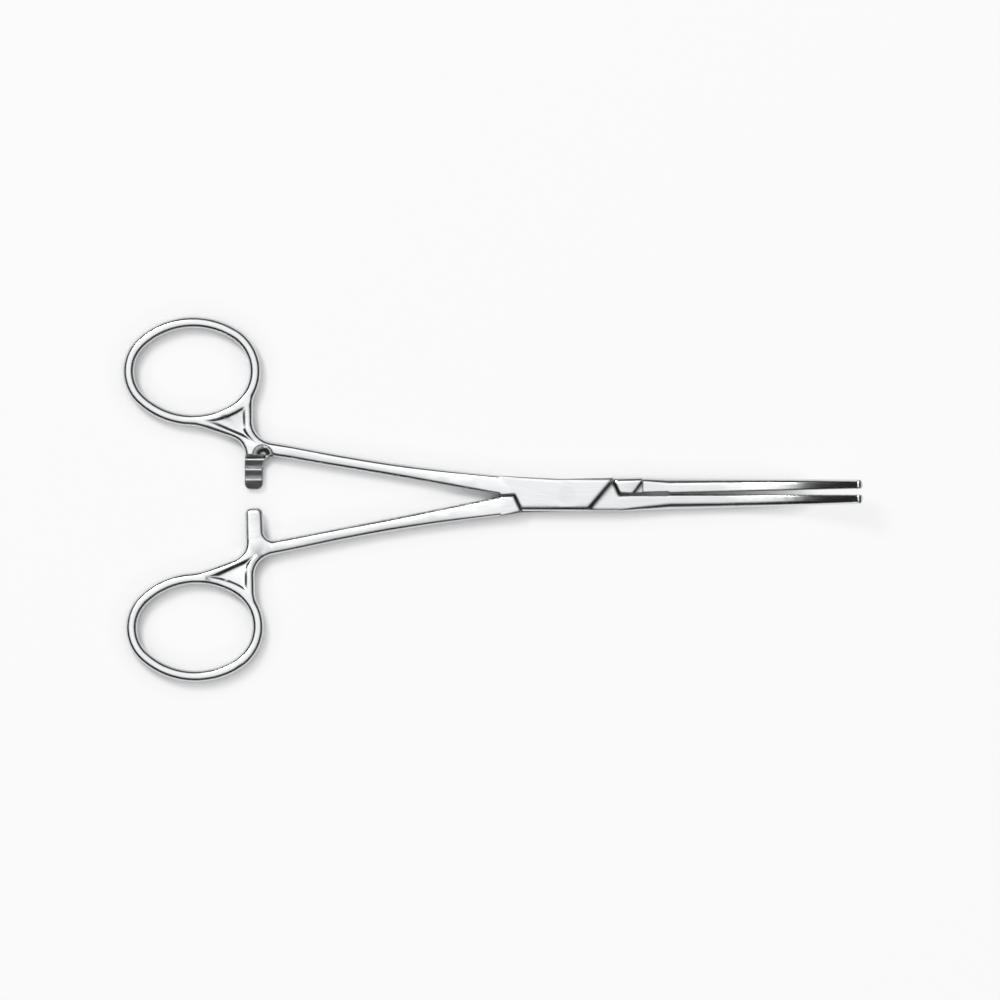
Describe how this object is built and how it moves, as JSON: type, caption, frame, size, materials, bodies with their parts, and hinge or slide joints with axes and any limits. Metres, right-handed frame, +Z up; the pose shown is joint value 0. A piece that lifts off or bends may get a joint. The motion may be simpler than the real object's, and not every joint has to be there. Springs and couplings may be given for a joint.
{
  "type": "surgical clamp",
  "caption": "Curved artery clamp with oval finger rings, a ratchet between the shanks, a box lock and long half-round jaws with lengthwise serrations.",
  "frame": {"origin": "on the pivot axis, at the underside of the box lock", "axes": "+X along the closed clamp from the finger rings to the jaw tips, +Y across it towards the female half's ring, +Z up along the pivot axis, the way the jaws curve"},
  "size_m": [0.1602, 0.0791, 0.0126],
  "materials": {
    "half_steel": "satin ground and polished stainless steel",
    "pin_steel": "stainless pin, ground flush with the lock faces"
  },
  "bodies": {
    "female": {"female_half": "half_steel", "pivot_pin": "pin_steel"},
    "male": {"male_half": "half_steel"}
  },
  "joints": [
    {"name": "box_lock_pivot", "type": "hinge", "parent": "female", "child": "male", "pos_m": [0, 0, 0.0023], "axis": [0, 0, 1], "range_deg": [-1.25, 58.7]}
  ]
}
